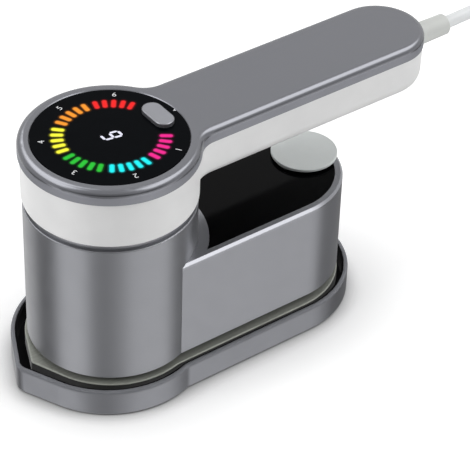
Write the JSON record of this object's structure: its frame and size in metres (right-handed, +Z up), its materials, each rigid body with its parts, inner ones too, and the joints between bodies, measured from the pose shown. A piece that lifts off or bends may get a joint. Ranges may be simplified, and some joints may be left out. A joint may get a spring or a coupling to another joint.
{
  "type": "handheld steam iron in its storage tray",
  "caption": "Compact steam iron with a round head, lit dial, swivelling grip, water tank tail and corded handle, standing on its pointed soleplate in a shallow storage tray.",
  "frame": {"origin": "on the table, where the swivel axis of the handle meets the tray's front pad", "axes": "+X from the swivel axis along the grip towards the cord, +Z up, +Y across the body"},
  "size_m": [0.4203, 0.1073, 0.1224],
  "materials": {
    "tray_grey": "satin moulded heat-proof plastic",
    "black_silicone": "matt moulded silicone",
    "sole_metal": "coated soleplate with a soft sheen",
    "steel": "bright zinc plate",
    "cast_aluminium": "as cast",
    "board_plastic": "moulded component body",
    "black_phenolic": "matt heat-proof moulding",
    "body_grey": "satin metallic grey paint on plastic",
    "cover_grey": "satin metallic grey paint on plastic",
    "smoked_plastic": "glossy smoked black",
    "hose_silicone": "translucent silicone",
    "pump_plastic": "moulded coil body",
    "lead_red": "heat-proof wire sleeve",
    "acetal": "slippery bearing plastic",
    "cap_silicone": "matt light grey silicone",
    "button_grey": "satin grey key",
    "white_plastic": "smooth white moulding",
    "display_black": "glossy black lens",
    "board_green": "solder resist",
    "led_plastic": "clear resin",
    "digit_white": "lit white stroke",
    "relief_grey": "soft light grey moulding",
    "cord_white": "smooth white sheath",
    "tie_black": "woven strap",
    "blade_nickel": "nickel plate",
    "bar_magenta": "lit window",
    "bar_cyan": "lit window",
    "bar_green": "lit window",
    "bar_yellow": "lit window",
    "bar_orange": "lit window",
    "bar_red": "lit window"
  },
  "bodies": {
    "tray": {"storage_tray": "tray_grey", "tray_liner": "black_silicone", "tray_pads": "black_silicone"},
    "iron": {"soleplate": "sole_metal", "heating_element": "steel", "chamber_gasket": "black_silicone", "chamber_cover": "cast_aluminium", "sole_screws": "steel", "temperature_sensor": "board_plastic", "thermal_fuse": "steel", "heat_insulator": "black_phenolic", "barrel_shell": "body_grey", "tail_shell": "body_grey", "housing_screws": "steel", "water_tank": "smoked_plastic", "tank_window": "smoked_plastic", "inlet_hose": "hose_silicone", "water_pump": "pump_plastic", "pump_bracket": "steel", "outlet_hose": "hose_silicone", "terminal_block": "board_plastic", "heater_leads": "lead_red", "thrust_washer": "acetal"},
    "handle": {"swivel_hub": "acetal", "hub_screws": "steel", "spring_washer": "steel", "retaining_ring": "steel", "wire_harness": "black_silicone", "handle_lower_shell": "white_plastic", "handle_top_cover": "cover_grey", "handle_screws": "steel", "display_lens": "display_black", "light_guide": "white_plastic", "display_board": "board_green", "display_leds": "led_plastic", "digit_module": "board_plastic", "mode_switch": "board_plastic", "power_board": "board_green", "board_screws": "steel", "board_parts": "board_plastic", "mains_leads": "lead_red", "cord_clamp": "board_plastic", "clamp_screws": "steel", "strain_relief": "relief_grey", "digit_strokes": "digit_white", "light_bars_magenta": "bar_magenta", "light_bars_cyan": "bar_cyan", "light_bars_green": "bar_green", "light_bars_yellow": "bar_yellow", "light_bars_orange": "bar_orange", "light_bars_red": "bar_red", "power_cord": "cord_white", "cord_coil": "cord_white", "cord_tie": "tie_black", "cord_tail": "cord_white", "plug_body": "cord_white", "plug_blades": "blade_nickel"},
    "cap": {"filler_cap": "cap_silicone"},
    "button": {"mode_button": "button_grey"}
  },
  "joints": [
    {"name": "iron_lift", "type": "slide", "parent": "tray", "child": "iron", "axis": [0, 0, 1], "range_m": [0, 0.05]},
    {"name": "handle_swivel", "type": "hinge", "parent": "iron", "child": "handle", "pos_m": [0, 0, 0.0896], "axis": [0, 0, 1], "range_deg": [0, 180]},
    {"name": "filler_cap_lift", "type": "slide", "parent": "iron", "child": "cap", "axis": [0, 0, 1], "range_m": [0, 0.02]},
    {"name": "mode_button_press", "type": "slide", "parent": "handle", "child": "button", "axis": [0, 0, -1], "range_m": [0, 0.0008], "stiffness_N_per_m": 500}
  ]
}
